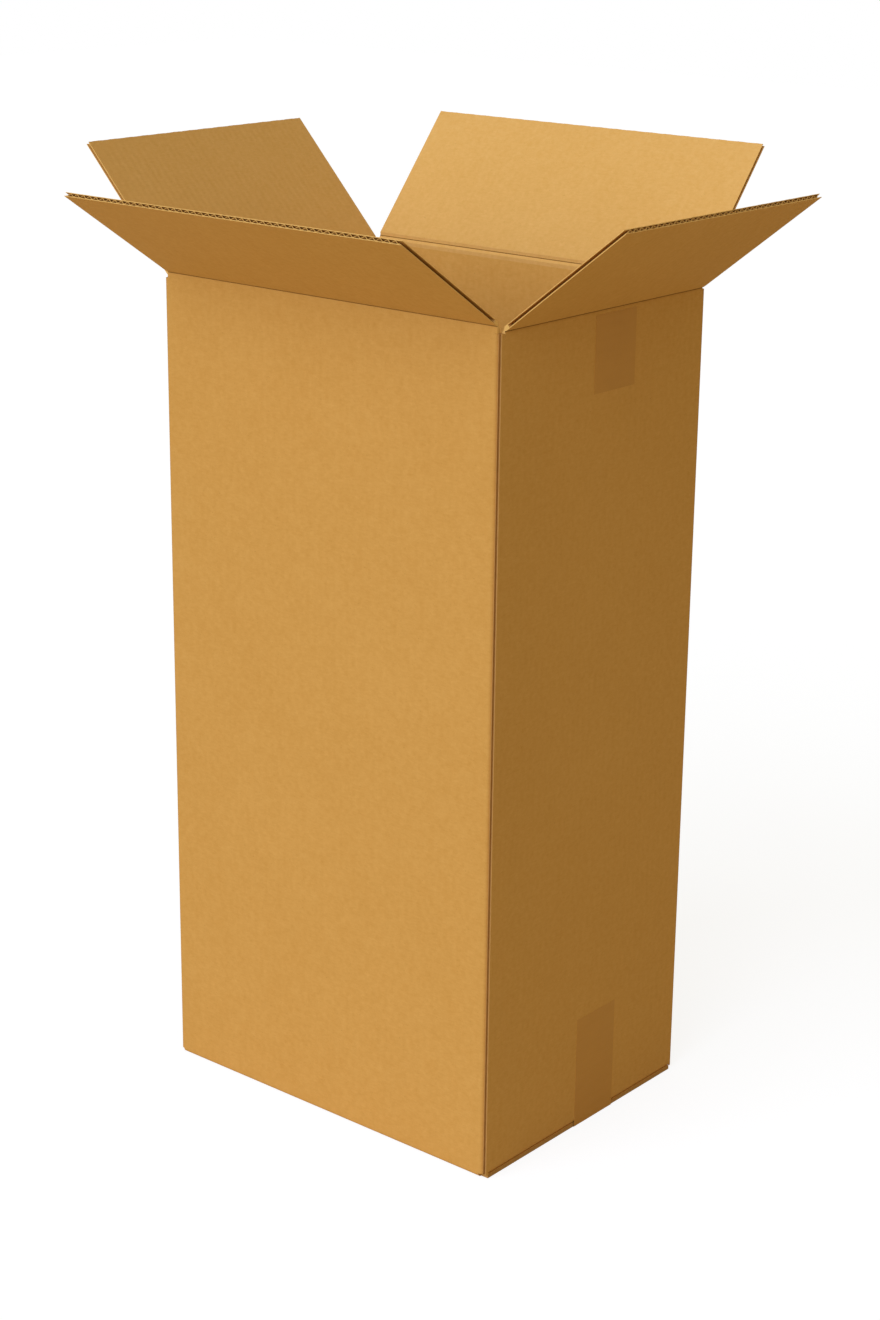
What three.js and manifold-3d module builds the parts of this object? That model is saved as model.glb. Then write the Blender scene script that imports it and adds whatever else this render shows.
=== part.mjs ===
// A tall regular slotted carton of single-wall corrugated board. It stands on
// its taped bottom with its four top flaps open. Millimetres, +Z up, with the
// origin on the floor under the middle of the box. The 400 mm side faces -Y.

import * as THREE from "three";
import { mergeGeometries, mergeVertices } from "three/addons/utils/BufferGeometryUtils.js";
import Module from "manifold-3d";

const wasm = await Module();
wasm.setup();

// Outside sizes of the closed box
const LENGTH = 400;
const DEPTH = 300;
const HEIGHT = 800;

// Corrugated board: two liners glued to a wavy medium
const BOARD = 4;
const LINER = 0.4;
const MEDIUM = 0.4;
const FLUTE_PITCH = 8;
const GLUE_LINE = 0.5; // half the width on which a flute is glued to a liner
const CUT_DEPTH = 1.6; // how far a cut along the flutes lets one look in

// Folds and creases
const FOLD_RADIUS = 4.5; // outside of a folded corner
const CREASE = 1; // board left at the crushed line on which a flap turns
const CREASE_RUN = 6; // from that line to the full board again
const FIT = 0.3; // running gap between a flap and what it folds against
const SIDE_GAP = 0.5; // slot beside a flap, past the corner's fold
const SEAM = 2; // gap between two flaps that meet

// Glue tab, folded from the front panel behind the right one
const TAB_WIDTH = 35;
const TAB_SLOPE = 12; // how much shorter the tab's free edge is at each end
const GLUE = 0.1; // thickness of the glue between the tab and the panel
const GLUE_MARGIN = 4; // bare board round the glue
const RAW_EDGE_INSET = 0.8; // right panel's cut edge, from the corner

// Tape
const TAPE_WIDTH = 60;
const TAPE = 0.2;
const BOTTOM_TAIL = 114; // up the end panels, from the floor
const BOTTOM_TAPE_OFFSET = 16; // stuck on by hand, off the seam towards the back
const TOP_TAIL = 70;
const TOP_TAIL_DROP = 4; // from the flap's crease down to the tail
const TOP_TAPE_OFFSET = 12;

// Angles in degrees
const OPEN_FRONT = 56.5; // how far each flap leans out from upright
const OPEN_RIGHT = 52;
const OPEN_BACK = 39.5;
const OPEN_LEFT = 43.5;
const OPEN_MOST = 150; // the crease lets a flap hang 60 degrees below level

const ARC_STEPS = 4;
const CHANNEL_STEPS = 5;

const CARDBOARD = new THREE.MeshStandardMaterial({ color: 0xcc9850, roughness: 0.85, metalness: 0 });
const FLAP_BOARD = new THREE.MeshStandardMaterial({ color: 0xd09d56, roughness: 0.85, metalness: 0 });
const TAPE_FILM = new THREE.MeshStandardMaterial({ color: 0xb9833f, roughness: 0.4, metalness: 0 });

const rad = THREE.MathUtils.degToRad;

// Sizes that follow
const PIVOT = CREASE / 2; // a flap turns about the middle of its crease
const STAGGER = BOARD + FIT; // inner flaps lie this far below the outer ones
const OUTER_CREASE_Z = HEIGHT - PIVOT;
const INNER_CREASE_Z = OUTER_CREASE_Z - STAGGER;
const OUTER_FLAP = DEPTH / 2 - PIVOT - SEAM / 2;
const INNER_FLAP = OUTER_FLAP + STAGGER; // the blank's edge is straight
const BOTTOM_REACH = DEPTH / 2 - SEAM / 2;
const SHELL_LOW = STAGGER + 2 * FOLD_RADIUS; // the walls are plain between
const SHELL_HIGH = INNER_CREASE_Z - BOARD - CREASE_RUN / 2; // these heights
const TAB_FACE = LENGTH / 2 - BOARD - GLUE; // outside face of the glue tab
const RIDGE = ridgeOf();

// Helpers for solids

function toSolid(geometry) {
  const bare = new THREE.BufferGeometry();
  bare.setAttribute("position", geometry.getAttribute("position"));
  if (geometry.index) bare.setIndex(geometry.index);
  const merged = mergeVertices(bare, 1e-4);
  const mesh = new wasm.Mesh({
    numProp: 3,
    vertProperties: merged.attributes.position.array,
    triVerts: new Uint32Array(merged.index.array),
  });
  return new wasm.Manifold(mesh);
}

function toGeometry(solid) {
  const mesh = solid.getMesh();
  const geometry = new THREE.BufferGeometry();
  geometry.setAttribute("position", new THREE.BufferAttribute(mesh.vertProperties, 3));
  geometry.setIndex(new THREE.BufferAttribute(mesh.triVerts, 1));
  return geometry;
}

function joined(solids) {
  return solids.reduce((whole, next) => whole.add(next));
}

// Extrudes a shape along +Z, from z0 to z1.
function upright(shape, z0, z1) {
  const options = { depth: z1 - z0, bevelEnabled: false, curveSegments: ARC_STEPS };
  return new THREE.ExtrudeGeometry(shape, options).translate(0, 0, z0);
}

// Extrudes a shape drawn as (distance in from the outside, height) along +X,
// from x0 to x1. Distance in becomes +Y.
function alongWall(shape, x0, x1) {
  const options = { depth: x1 - x0, bevelEnabled: false, curveSegments: ARC_STEPS };
  const upToX = new THREE.Matrix4().makeBasis(
    new THREE.Vector3(0, 1, 0),
    new THREE.Vector3(0, 0, 1),
    new THREE.Vector3(1, 0, 0),
  );
  return new THREE.ExtrudeGeometry(shape, options).applyMatrix4(upToX).translate(x0, 0, 0);
}

// Turns a wall's frame to its side of the box. A wall's frame has its outside
// face at y = 0, facing -Y, with +X along the wall.
function sideMatrix(degrees) {
  const reach = Math.abs(degrees) === 90 ? LENGTH / 2 : DEPTH / 2;
  const turn = new THREE.Matrix4().makeRotationZ(rad(degrees));
  return turn.multiply(new THREE.Matrix4().makeTranslation(0, -reach, 0));
}

// Walls and bottom flaps

// Where the top of a wall peaks under the crease: s in from the crease's
// middle line and drop below it. Inwards of the peak the wall slopes clear of
// the closed flap, outwards of it clear of the hanging one.
function ridgeOf() {
  const slope = (BOARD - CREASE) / CREASE_RUN;
  const hang = rad(OPEN_MOST - 90);
  const clear = PIVOT + FIT;
  const s = (clear / Math.cos(hang) - clear) / (Math.tan(hang) + slope);
  return { slope, hang, clear, s, drop: clear + slope * s };
}

// Section of a wall's bottom end with its bottom flap: x is the distance in
// from the outside face, y the height.
function footSection(bottom, reach) {
  const fold = FOLD_RADIUS;
  const shape = new THREE.Shape();
  shape.moveTo(reach, bottom);
  shape.lineTo(reach, bottom + BOARD);
  shape.lineTo(BOARD, bottom + BOARD);
  shape.lineTo(BOARD, SHELL_LOW);
  shape.lineTo(0, SHELL_LOW);
  shape.lineTo(0, bottom + fold);
  shape.absarc(fold, bottom + fold, fold, Math.PI, 1.5 * Math.PI, false);
  return shape;
}

// Section of a wall's top end under the crease.
function headSection(creaseZ) {
  const innerTop = creaseZ - RIDGE.clear - RIDGE.slope * (BOARD - PIVOT);
  const outerTop = creaseZ - RIDGE.clear / Math.cos(RIDGE.hang) - PIVOT * Math.tan(RIDGE.hang);
  const shape = new THREE.Shape();
  shape.moveTo(0, SHELL_HIGH);
  shape.lineTo(BOARD, SHELL_HIGH);
  shape.lineTo(BOARD, innerTop);
  shape.lineTo(PIVOT + RIDGE.s, creaseZ - RIDGE.drop);
  shape.lineTo(0, outerTop);
  return shape;
}

// A rounded corner of the board seen from above, convex towards -X and -Y,
// with its outside faces on x = 0 and y = 0.
function cornerSection() {
  const r = FOLD_RADIUS;
  const shape = new THREE.Shape();
  shape.moveTo(r, 0);
  shape.lineTo(r, BOARD);
  shape.lineTo(BOARD, BOARD);
  shape.lineTo(BOARD, r);
  shape.lineTo(0, r);
  shape.absarc(r, r, r, Math.PI, 1.5 * Math.PI, false);
  return shape;
}

// The points of the right panel's cut edge, which faces -Y at the glued
// corner: the flute behind it lies open between the liners.
function rawEdgePoints() {
  const y = RAW_EDGE_INSET - DEPTH / 2;
  const inside = LENGTH / 2 - BOARD;
  const outside = LENGTH / 2;
  return [
    [inside, y],
    [inside + LINER, y],
    [inside + LINER, y + CUT_DEPTH],
    [outside - LINER, y + CUT_DEPTH / 2],
    [outside - LINER, y],
    [outside, y],
  ];
}

// The short end of the right panel between its straight part and its cut
// edge, seen from above.
function rawEndSection() {
  const y = FOLD_RADIUS - DEPTH / 2;
  const shape = new THREE.Shape();
  shape.moveTo(LENGTH / 2 - BOARD, y);
  for (const point of rawEdgePoints()) shape.lineTo(...point);
  shape.lineTo(LENGTH / 2, y);
  return shape;
}

// The blank seen from above, folded round once: from the cut edge of the
// right panel past the back, the left and the front to the glue tab's end.
function wrapSection() {
  const x = LENGTH / 2;
  const y = DEPTH / 2;
  const r = FOLD_RADIUS;
  const t = BOARD;
  const tabEnd = FOLD_RADIUS - y + TAB_WIDTH;
  const shape = new THREE.Shape();
  shape.moveTo(...rawEdgePoints()[0]);
  for (const point of rawEdgePoints().slice(1)) shape.lineTo(...point);
  shape.lineTo(x, y - r);
  shape.absarc(x - r, y - r, r, 0, Math.PI / 2, false);
  shape.lineTo(-x + r, y);
  shape.absarc(-x + r, y - r, r, Math.PI / 2, Math.PI, false);
  shape.lineTo(-x, -y + r);
  shape.absarc(-x + r, -y + r, r, Math.PI, 1.5 * Math.PI, false);
  shape.lineTo(TAB_FACE - r, -y);
  shape.absarc(TAB_FACE - r, -y + r, r, -Math.PI / 2, 0, false);
  shape.lineTo(TAB_FACE, tabEnd);
  shape.lineTo(TAB_FACE - t, tabEnd);
  shape.lineTo(TAB_FACE - t, -y + t);
  shape.lineTo(-x + t, -y + t);
  shape.lineTo(-x + t, y - t);
  shape.lineTo(x - t, y - t);
  return shape;
}

// What is cut off one end of the glue tab, seen from its flat side, with the
// distance from the tab's fold along x. up is 1 for the top, -1 for the foot.
function tabCutSection(up) {
  const end = up > 0 ? SHELL_HIGH : SHELL_LOW;
  const shape = new THREE.Shape();
  shape.moveTo(0, end);
  shape.lineTo(TAB_WIDTH + 1, end - (up * TAB_SLOPE * (TAB_WIDTH + 1)) / TAB_WIDTH);
  shape.lineTo(TAB_WIDTH + 1, end + up);
  shape.lineTo(0, end + up);
  return shape;
}

// How far the straight part of a side runs to its two ends, in the wall's
// own frame. The front panel ends one board short at the glued corner.
const SIDES = {
  front: { turn: 0, from: -LENGTH / 2, to: TAB_FACE, outer: true, open: OPEN_FRONT },
  right: { turn: 90, from: -DEPTH / 2, to: DEPTH / 2, outer: false, open: OPEN_RIGHT },
  back: { turn: 180, from: -LENGTH / 2, to: LENGTH / 2, outer: true, open: OPEN_BACK },
  left: { turn: -90, from: -DEPTH / 2, to: DEPTH / 2, outer: false, open: OPEN_LEFT },
};

function buildWallEnds(side) {
  const bottom = side.outer ? 0 : STAGGER;
  const crease = side.outer ? OUTER_CREASE_Z : INNER_CREASE_Z;
  const reach = side.outer ? BOTTOM_REACH : BOTTOM_REACH + STAGGER;
  const sections = [footSection(bottom, reach), headSection(crease)];
  return sections.map((section) => {
    const end = alongWall(section, side.from + FOLD_RADIUS, side.to - FOLD_RADIUS);
    return toSolid(end.applyMatrix4(sideMatrix(side.turn)));
  });
}

function buildBody() {
  const postLow = FOLD_RADIUS;
  const postHigh = INNER_CREASE_Z - RIDGE.drop;
  const wrap = toSolid(upright(wrapSection(), SHELL_LOW, SHELL_HIGH));
  const ends = Object.values(SIDES).flatMap(buildWallEnds);

  // The corners run on a little past the plain walls, up and down.
  const corners = [
    { turn: 0, x: -LENGTH / 2, y: -DEPTH / 2 },
    { turn: -90, x: -LENGTH / 2, y: DEPTH / 2 },
    { turn: 180, x: LENGTH / 2, y: DEPTH / 2 },
    { turn: 90, x: TAB_FACE, y: -DEPTH / 2 },
  ];
  const reaches = [[postLow, SHELL_LOW], [SHELL_HIGH, postHigh]];
  for (const [low, high] of reaches) {
    for (const corner of corners) {
      const post = upright(cornerSection(), low, high).rotateZ(rad(corner.turn));
      ends.push(toSolid(post.translate(corner.x, corner.y, 0)));
    }
    ends.push(toSolid(upright(rawEndSection(), low, high)));
  }

  // The tab's ends slope, and its glue joins it to the right panel.
  const tabStart = FOLD_RADIUS - DEPTH / 2;
  const tabInside = TAB_FACE - BOARD;
  const cuts = [1, -1].map((up) => {
    const cut = alongWall(tabCutSection(up), tabInside - 1, TAB_FACE + GLUE / 2);
    return toSolid(cut.translate(0, tabStart, 0));
  });
  const glueDepth = GLUE + BOARD / 2;
  const glueHeight = SHELL_HIGH - SHELL_LOW - 2 * (TAB_SLOPE + GLUE_MARGIN);
  const glue = new THREE.BoxGeometry(glueDepth, TAB_WIDTH - 2 * GLUE_MARGIN, glueHeight);
  const glueY = tabStart + TAB_WIDTH / 2;
  glue.translate(TAB_FACE + GLUE / 2, glueY, (SHELL_LOW + SHELL_HIGH) / 2);
  const tabbed = cuts.reduce((whole, cut) => whole.subtract(cut), wrap).add(toSolid(glue));
  return joined([tabbed, ...ends]);
}

// Top flaps. A flap is drawn upright: x along the crease, y from the outside
// face in, z up from the crease's middle line, on which it turns.

// One channel between the medium and a liner. under is 1 for the channels
// below a crest, next to the outside liner, and -1 for the others.
function fluteChannel(centre, under) {
  const core = BOARD / 2 - LINER;
  const height = core - MEDIUM / 2;
  const wave = (2 * Math.PI) / FLUTE_PITCH;
  const edge = (x) => {
    const lean = Math.atan(height * wave * Math.sin(wave * x));
    return height * Math.cos(wave * x) - MEDIUM / 2 / Math.cos(lean);
  };
  const foot = FLUTE_PITCH / 2 - GLUE_LINE;
  const points = [];
  for (let k = 0; k <= CHANNEL_STEPS; k++) {
    const x = foot * ((2 * k) / CHANNEL_STEPS - 1);
    const onLiner = k === 0 || k === CHANNEL_STEPS;
    points.push(new THREE.Vector2(centre + x, under * (onLiner ? -core : edge(x))));
  }
  return points;
}

// The flutes' channels between x0 and x1, alternately under and over a crest.
function fluteChannels(x0, x1, z0, z1) {
  const first = x0 + CUT_DEPTH + FLUTE_PITCH / 2;
  const last = x1 - CUT_DEPTH - FLUTE_PITCH / 2;
  const step = FLUTE_PITCH / 2;
  const count = 2 * Math.floor((last - first) / FLUTE_PITCH) + 1;
  const start = (first + last - (count - 1) * step) / 2;
  const channels = [];
  for (let i = 0; i < count; i++) {
    const outline = fluteChannel(start + i * step, i % 2 ? -1 : 1);
    channels.push(upright(new THREE.Shape(outline), z0, z1));
  }
  return mergeGeometries(channels);
}

// The board's section across the flutes. Both sides are cut along a flute,
// which lies open between the liners there.
function boardSection(x0, x1) {
  const core = BOARD / 2 - LINER;
  const half = BOARD / 2;
  const shape = new THREE.Shape();
  shape.moveTo(x0, -half);
  shape.lineTo(x1, -half);
  shape.lineTo(x1, -core);
  shape.lineTo(x1 - CUT_DEPTH, -core);
  shape.lineTo(x1 - CUT_DEPTH / 2, core);
  shape.lineTo(x1, core);
  shape.lineTo(x1, half);
  shape.lineTo(x0, half);
  shape.lineTo(x0, core);
  shape.lineTo(x0 + CUT_DEPTH / 2, core);
  shape.lineTo(x0 + CUT_DEPTH, -core);
  shape.lineTo(x0, -core);
  return shape;
}

// Section of the crushed strip along the crease: a round bead about the line
// of turning that opens out to the full board.
function creaseSection() {
  const deep = BOARD - PIVOT;
  const shape = new THREE.Shape();
  shape.absarc(0, 0, PIVOT, Math.PI, 2 * Math.PI, false);
  shape.lineTo(deep, CREASE_RUN);
  shape.lineTo(-PIVOT, CREASE_RUN);
  return shape;
}

function buildFlap(side) {
  const length = side.outer ? OUTER_FLAP : INNER_FLAP;
  const x0 = side.from + FOLD_RADIUS + SIDE_GAP;
  const x1 = side.to - FOLD_RADIUS - SIDE_GAP;
  const middle = BOARD / 2 - PIVOT;
  const board = upright(boardSection(x0, x1), CREASE_RUN, length).translate(0, middle, 0);
  const crease = alongWall(creaseSection(), x0, x1);
  const blind = CREASE_RUN + FIT;
  const channels = fluteChannels(x0, x1, blind, length + 1).translate(0, middle, 0);
  return toGeometry(toSolid(crease).add(toSolid(board)).subtract(toSolid(channels)));
}

// Tape

// A strip of tape as a section: the outside of the tape follows the points,
// and its thickness lies inside them.
function tapeBand(outline, width) {
  const options = { depth: width, bevelEnabled: false, curveSegments: ARC_STEPS };
  const upToY = new THREE.Matrix4().makeBasis(
    new THREE.Vector3(1, 0, 0),
    new THREE.Vector3(0, 0, 1),
    new THREE.Vector3(0, -1, 0),
  );
  return new THREE.ExtrudeGeometry(outline, options).applyMatrix4(upToY).translate(0, width / 2, 0);
}

// Bottom strip: flat under the seam, round the fold and up both end panels.
function bottomTapeOutline() {
  const out = LENGTH / 2 + TAPE;
  const bend = FOLD_RADIUS + TAPE;
  const turn = out - bend;
  const shape = new THREE.Shape();
  shape.moveTo(-turn, 0);
  shape.lineTo(turn, 0);
  shape.absarc(turn, bend, bend, -Math.PI / 2, 0, false);
  shape.lineTo(out, BOTTOM_TAIL);
  shape.lineTo(out - TAPE, BOTTOM_TAIL);
  shape.lineTo(out - TAPE, bend);
  shape.absarc(turn, bend, bend - TAPE, 0, -Math.PI / 2, true);
  shape.lineTo(-turn, TAPE);
  shape.absarc(-turn, bend, bend - TAPE, -Math.PI / 2, -Math.PI, true);
  shape.lineTo(-out + TAPE, BOTTOM_TAIL);
  shape.lineTo(-out, BOTTOM_TAIL);
  shape.lineTo(-out, bend);
  shape.absarc(-turn, bend, bend, Math.PI, 1.5 * Math.PI, false);
  return shape;
}

// What is left of the strip that sealed the top: a tail on an end panel.
function topTapeOutline() {
  const top = INNER_CREASE_Z - TOP_TAIL_DROP;
  const shape = new THREE.Shape();
  shape.moveTo(LENGTH / 2, top - TOP_TAIL);
  shape.lineTo(LENGTH / 2 + TAPE, top - TOP_TAIL);
  shape.lineTo(LENGTH / 2 + TAPE, top);
  shape.lineTo(LENGTH / 2, top);
  return shape;
}

// The box

const box = new THREE.Group();
box.name = "shipping_box";

function addMesh(parent, name, geometry, material) {
  const mesh = new THREE.Mesh(geometry, material);
  mesh.name = name;
  parent.add(mesh);
}

// The tape presses its own thickness into the bottom flaps.
const bottomTape = tapeBand(bottomTapeOutline(), TAPE_WIDTH).translate(0, BOTTOM_TAPE_OFFSET, 0);
addMesh(box, "carton_body", toGeometry(buildBody().subtract(toSolid(bottomTape))), CARDBOARD);

for (const [name, side] of Object.entries(SIDES)) {
  const crease = new THREE.Group();
  crease.applyMatrix4(sideMatrix(side.turn));
  const turned = new THREE.Group();
  turned.position.set(0, PIVOT, side.outer ? OUTER_CREASE_Z : INNER_CREASE_Z);
  turned.rotation.x = rad(side.open);
  addMesh(turned, `${name}_flap`, buildFlap(side), FLAP_BOARD);
  crease.add(turned);
  box.add(crease);
}

addMesh(box, "bottom_tape", bottomTape, TAPE_FILM);
for (const [name, turn] of [["right", 0], ["left", Math.PI]]) {
  const tail = tapeBand(topTapeOutline(), TAPE_WIDTH).rotateZ(turn);
  addMesh(box, `top_tape_${name}`, tail.translate(0, TOP_TAPE_OFFSET, 0), TAPE_FILM);
}

export default box;
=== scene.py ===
"""Looks of a tall corrugated shipping box with its top flaps open.

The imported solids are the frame. Every piece is built in metres in that frame:
the origin is on the floor under the middle of the box, +Z is up, and the
400 mm side faces -Y.
"""

import logging
import math
from dataclasses import dataclass, field
from enum import Enum, IntEnum
from typing import Any, Callable, Sequence

import bpy
from mathutils import Matrix, Vector
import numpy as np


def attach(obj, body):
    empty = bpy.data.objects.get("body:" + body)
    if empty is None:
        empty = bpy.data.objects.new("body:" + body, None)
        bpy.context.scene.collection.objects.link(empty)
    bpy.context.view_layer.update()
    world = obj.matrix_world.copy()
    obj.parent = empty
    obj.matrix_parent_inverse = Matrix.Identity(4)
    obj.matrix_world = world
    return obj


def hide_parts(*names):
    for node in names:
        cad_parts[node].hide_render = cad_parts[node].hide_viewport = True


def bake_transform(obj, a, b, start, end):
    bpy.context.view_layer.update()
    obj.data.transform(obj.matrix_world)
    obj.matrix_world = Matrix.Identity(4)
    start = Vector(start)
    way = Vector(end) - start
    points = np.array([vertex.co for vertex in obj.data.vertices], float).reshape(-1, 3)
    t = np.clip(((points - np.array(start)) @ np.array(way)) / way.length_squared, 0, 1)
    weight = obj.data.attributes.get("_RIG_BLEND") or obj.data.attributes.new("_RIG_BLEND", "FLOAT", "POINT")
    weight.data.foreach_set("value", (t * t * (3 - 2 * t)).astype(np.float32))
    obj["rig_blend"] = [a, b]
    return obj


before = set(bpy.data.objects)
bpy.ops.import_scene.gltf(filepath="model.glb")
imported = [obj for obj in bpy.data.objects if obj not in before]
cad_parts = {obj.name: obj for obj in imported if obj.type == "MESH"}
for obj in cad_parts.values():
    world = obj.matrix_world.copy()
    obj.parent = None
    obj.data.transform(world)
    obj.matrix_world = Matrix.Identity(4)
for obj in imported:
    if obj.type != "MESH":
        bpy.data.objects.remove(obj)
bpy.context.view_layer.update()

log = logging.getLogger("shipping_box")

Point = tuple[float, float]
Colour = tuple[float, float, float]


# Node helpers


class Value:
    """A number socket that Python's operators work on."""

    def __init__(self, graph: "Graph", socket: bpy.types.NodeSocket) -> None:
        """Wraps a socket of a graph."""
        self.graph = graph
        self.socket = socket

    def _math(self, operation: str, *operands: Any) -> "Value":
        """Adds a Math node.

        Args:
            operation: The node's operation.
            operands: Numbers or values for its inputs.

        Returns:
            The node's result.
        """
        inputs = dict(enumerate(operands))
        node = self.graph.node("ShaderNodeMath", {"operation": operation}, inputs)
        return Value(self.graph, node.outputs[0])

    def __add__(self, other: Any) -> "Value":
        """self + other."""
        return self._math("ADD", self, other)

    def __radd__(self, other: Any) -> "Value":
        """other + self."""
        return self._math("ADD", other, self)

    def __sub__(self, other: Any) -> "Value":
        """self - other."""
        return self._math("SUBTRACT", self, other)

    def __mul__(self, other: Any) -> "Value":
        """self * other."""
        return self._math("MULTIPLY", self, other)

    def __truediv__(self, other: Any) -> "Value":
        """self / other."""
        return self._math("DIVIDE", self, other)

    def cosine(self) -> "Value":
        """The cosine of an angle in radians."""
        return self._math("COSINE", self)

    def rounded_up(self) -> "Value":
        """The next whole number."""
        return self._math("CEIL", self)

    def step(self, low: float, high: float) -> "Value":
        """A smooth step.

        Args:
            low: Where it starts to leave 0.
            high: Where it reaches 1.

        Returns:
            The step's value, 0 to 1.
        """
        settings = {"interpolation_type": "SMOOTHSTEP"}
        inputs = {"Value": self, "From Min": low, "From Max": high}
        node = self.graph.node("ShaderNodeMapRange", settings, inputs)
        return Value(self.graph, node.outputs["Result"])


class Graph:
    """Adds nodes to one shader or geometry tree."""

    def __init__(self, tree: bpy.types.NodeTree) -> None:
        """Starts on an emptied tree."""
        self.tree = tree
        tree.nodes.clear()

    def node(self, kind: str, settings: dict | None = None, inputs: dict | None = None) -> bpy.types.Node:
        """Adds one node.

        Args:
            kind: The node's type.
            settings: Attributes to set first.
            inputs: Values or links, by the socket's name or place.

        Returns:
            The new node.
        """
        made = self.tree.nodes.new(kind)
        for key, value in (settings or {}).items():
            setattr(made, key, value)
        for key, value in (inputs or {}).items():
            self._feed(made.inputs[key], value)
        return made

    def _feed(self, socket: bpy.types.NodeSocket, value: Any) -> None:
        """Links a socket, or sets its value.

        Args:
            socket: The input.
            value: A value, a socket to link from, or a plain setting.
        """
        if isinstance(value, Value):
            self.tree.links.new(value.socket, socket)
        elif isinstance(value, bpy.types.NodeSocket):
            self.tree.links.new(value, socket)
        else:
            socket.default_value = value

    def noise(self, vector: Any, scale: float, detail: float = 2.0, roughness: float = 0.5) -> Value:
        """Adds a noise texture.

        Args:
            vector: Where it is read.
            scale: Blotches per metre, roughly.
            detail: Octaves.
            roughness: Weight of the finer octaves.

        Returns:
            The noise, 0 to 1.
        """
        inputs = {"Vector": vector, "Scale": scale, "Detail": detail, "Roughness": roughness}
        return Value(self, self.node("ShaderNodeTexNoise", None, inputs).outputs["Fac"])

    def mixed(self, factor: Any, first: Any, second: Any) -> bpy.types.NodeSocket:
        """Mixes two colours.

        Args:
            factor: 0 for the first, 1 for the second.
            first: A colour or a colour socket.
            second: A colour or a colour socket.

        Returns:
            The mixed colour's socket.
        """
        made = self.node("ShaderNodeMix", {"data_type": "RGBA"}, {0: factor})
        self._feed(made.inputs[6], first if not isinstance(first, tuple) else (*first, 1.0))
        self._feed(made.inputs[7], second if not isinstance(second, tuple) else (*second, 1.0))
        return made.outputs[2]

    def stretched(self, u: Value, v: Value, along: float, across: float) -> bpy.types.NodeSocket:
        """Scales the board's coordinates apart, so that a noise on them has a grain.

        Args:
            u: Place round the blank.
            v: Place along the flutes.
            along: Scale of u.
            across: Scale of v.

        Returns:
            The vector's socket.
        """
        inputs = {"X": u * along, "Y": v * across}
        return self.node("ShaderNodeCombineXYZ", None, inputs).outputs[0]

    def on_board(self) -> tuple[Value, Value, bpy.types.NodeSocket]:
        """Reads where a point of the board is.

        Returns:
            Its place round the blank, its place along the flutes, and the
            socket of its place in the object.
        """
        place = self.node("ShaderNodeTexCoord")
        board = self.node("ShaderNodeSeparateXYZ", None, {0: place.outputs["UV"]})
        return Value(self, board.outputs["X"]), Value(self, board.outputs["Y"]), place.outputs["Object"]

    def surface(
        self,
        colour: bpy.types.NodeSocket,
        roughness: Any,
        sheen: float,
        lift: Value,
        strength: float,
    ) -> None:
        """Ends a material with its bump, its shader and its output.

        Args:
            colour: The base colour's socket.
            roughness: The roughness, a number or a value.
            sheen: The specular level.
            lift: The bump's height in metres.
            strength: The bump's strength.
        """
        bump = self.node("ShaderNodeBump", None, {"Strength": strength, "Distance": 1.0, "Height": lift})
        inputs = {
            "Base Color": colour,
            "Roughness": roughness,
            "Specular IOR Level": sheen,
            "Normal": bump.outputs[0],
        }
        shader = self.node("ShaderNodeBsdfPrincipled", None, inputs)
        self.node("ShaderNodeOutputMaterial", None, {0: shader.outputs[0]})


# Sizes of the board and the carton


@dataclass(frozen=True)
class BoardGrade:
    """Single-wall corrugated board: two liners glued to a wavy medium."""

    thickness: float = 0.004
    liner: float = 0.0006
    medium: float = 0.0006
    pitch: float = 0.008

    @property
    def wave(self) -> float:
        """How far the medium's middle swings to each side."""
        return self.thickness / 2 - self.liner - self.medium / 2


@dataclass(frozen=True)
class CartonPlan:
    """The carton's outside and its folds, as the solids have them."""

    length: float = 0.4
    depth: float = 0.3
    height: float = 0.8
    board: BoardGrade = BoardGrade()
    fold: float = 0.0045
    crease_in: float = 0.0005
    crease_run: float = 0.006
    stagger: float = 0.0043
    side_gap: float = 0.0005
    seam: float = 0.002
    tab_width: float = 0.035
    tab_slope: float = 0.012
    glue: float = 0.0001
    raw_edge_in: float = 0.0008

    @property
    def tab_face(self) -> float:
        """X of the glue tab's outside face, and of the front panel's end."""
        return self.length / 2 - self.board.thickness - self.glue

    @property
    def shell_low(self) -> float:
        """Height from which all walls are plain."""
        return self.stagger + 2 * self.fold


class Face(IntEnum):
    """Which face of the board a polygon belongs to: its material slot."""

    OUTSIDE = 0
    INSIDE = 1
    CUT = 2
    # The line along a crease, dark with painted shade of the crease's valley
    FOLD = 3


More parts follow.
